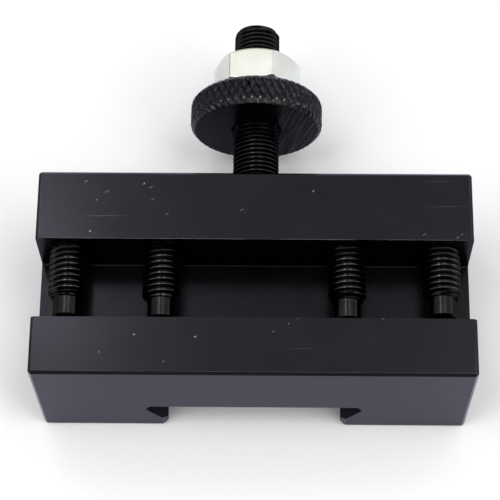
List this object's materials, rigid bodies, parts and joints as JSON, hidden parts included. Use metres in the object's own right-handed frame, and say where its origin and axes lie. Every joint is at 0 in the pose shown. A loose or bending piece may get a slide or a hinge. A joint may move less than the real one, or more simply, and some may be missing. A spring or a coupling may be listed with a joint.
{
  "type": "quick change tool holder",
  "caption": "Turning and facing tool holder with a dovetail back, a clamping slot with dog-point set screws and a height-setting stud with knurled and lock nuts.",
  "frame": {"origin": "middle of the dovetail mouth in the plane of the back face, halfway up the block", "axes": "+X along the block, +Y towards the height stud (up when the holder is on the lathe), +Z out of the tool slot, away from the back face"},
  "size_m": [0.089, 0.0843, 0.0325],
  "materials": {
    "black_oxide_block": "ground steel, satin black oxide",
    "black_oxide_thread": "oiled black oxide thread",
    "black_oxide_knurl": "turned and knurled steel, black oxide",
    "black_oxide_screw": "glossy oiled black oxide",
    "zinc_plate": "bright zinc plate, faint yellow tint"
  },
  "bodies": {
    "block": {"holder_body": "black_oxide_block", "height_stud": "black_oxide_thread"},
    "knurled_nut": {"knurled_nut": "black_oxide_knurl"},
    "lock_nut": {"lock_nut": "zinc_plate"},
    "set_screw_1": {"set_screw_1": "black_oxide_screw"},
    "set_screw_2": {"set_screw_2": "black_oxide_screw"},
    "set_screw_3": {"set_screw_3": "black_oxide_screw"},
    "set_screw_4": {"set_screw_4": "black_oxide_screw"}
  },
  "joints": [
    {"name": "knurled_nut_travel", "type": "slide", "parent": "block", "child": "knurled_nut", "axis": [0, 1, 0], "range_m": [-0.0165, 0.0038]},
    {"name": "lock_nut_travel", "type": "slide", "parent": "knurled_nut", "child": "lock_nut", "axis": [0, 1, 0], "range_m": [-0.0019, 0.0039]},
    {"name": "set_screw_1_travel", "type": "slide", "parent": "block", "child": "set_screw_1", "axis": [0, 1, 0], "range_m": [-0.0023, 0.0146]},
    {"name": "set_screw_2_travel", "type": "slide", "parent": "block", "child": "set_screw_2", "axis": [0, 1, 0], "range_m": [-0.0021, 0.0148]},
    {"name": "set_screw_3_travel", "type": "slide", "parent": "block", "child": "set_screw_3", "axis": [0, 1, 0], "range_m": [-0.002, 0.0149]},
    {"name": "set_screw_4_travel", "type": "slide", "parent": "block", "child": "set_screw_4", "axis": [0, 1, 0], "range_m": [-0.0027, 0.0142]}
  ]
}
